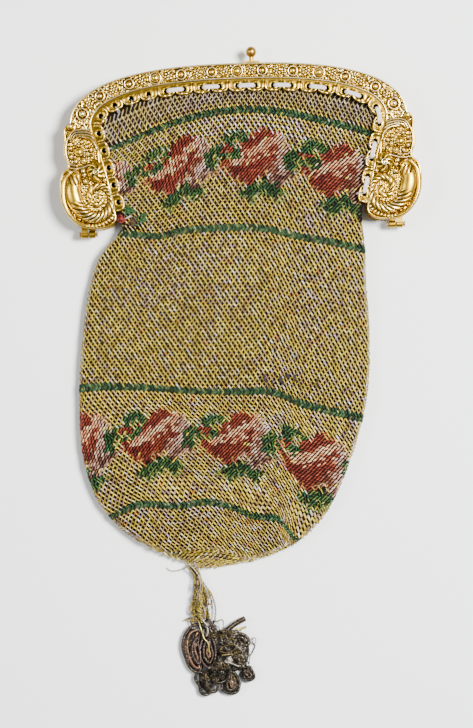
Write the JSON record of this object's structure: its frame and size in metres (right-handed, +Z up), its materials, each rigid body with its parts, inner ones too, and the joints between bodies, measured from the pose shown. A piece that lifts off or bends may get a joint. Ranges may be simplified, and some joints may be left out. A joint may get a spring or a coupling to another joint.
{
  "type": "reticule",
  "caption": "Flat crocheted purse sewn into a hinged, arched, gilt metal frame with scrolled ends, a push button on the crown and a bullion tassel below.",
  "frame": {"origin": "middle of the footprint, on the surface that the purse lies on", "axes": "+X across the frame to its right as seen from the front, +Y from the tassel to the crown of the frame, +Z up out of the surface, through the purse's front"},
  "size_m": [0.1268, 0.227, 0.0111],
  "materials": {
    "gilt_front": "worn gilding, bright on the raised relief and brown in the hollows",
    "gilt_back": "worn gilding, plainer and duller",
    "pin_brass": "dull brass",
    "button_brass": "polished, browned",
    "crochet": "crocheted metal-wrapped thread in gold, cream and olive with green, red and pink",
    "metal_thread": "twisted gilt thread",
    "bullion": "tarnished wire purl"
  },
  "bodies": {
    "purse": {"front_frame": "gilt_front", "back_frame": "gilt_back", "hinge_pin_right": "pin_brass", "hinge_pin_left": "pin_brass", "bag": "crochet", "tassel_stem": "metal_thread", "tassel": "bullion"},
    "button": {"push_button": "button_brass"}
  },
  "joints": [
    {"name": "button_press", "type": "slide", "parent": "purse", "child": "button", "axis": [0, -1, 0], "range_m": [0, 0.0014], "stiffness_N_per_m": 200, "springref_m": -0.001}
  ]
}
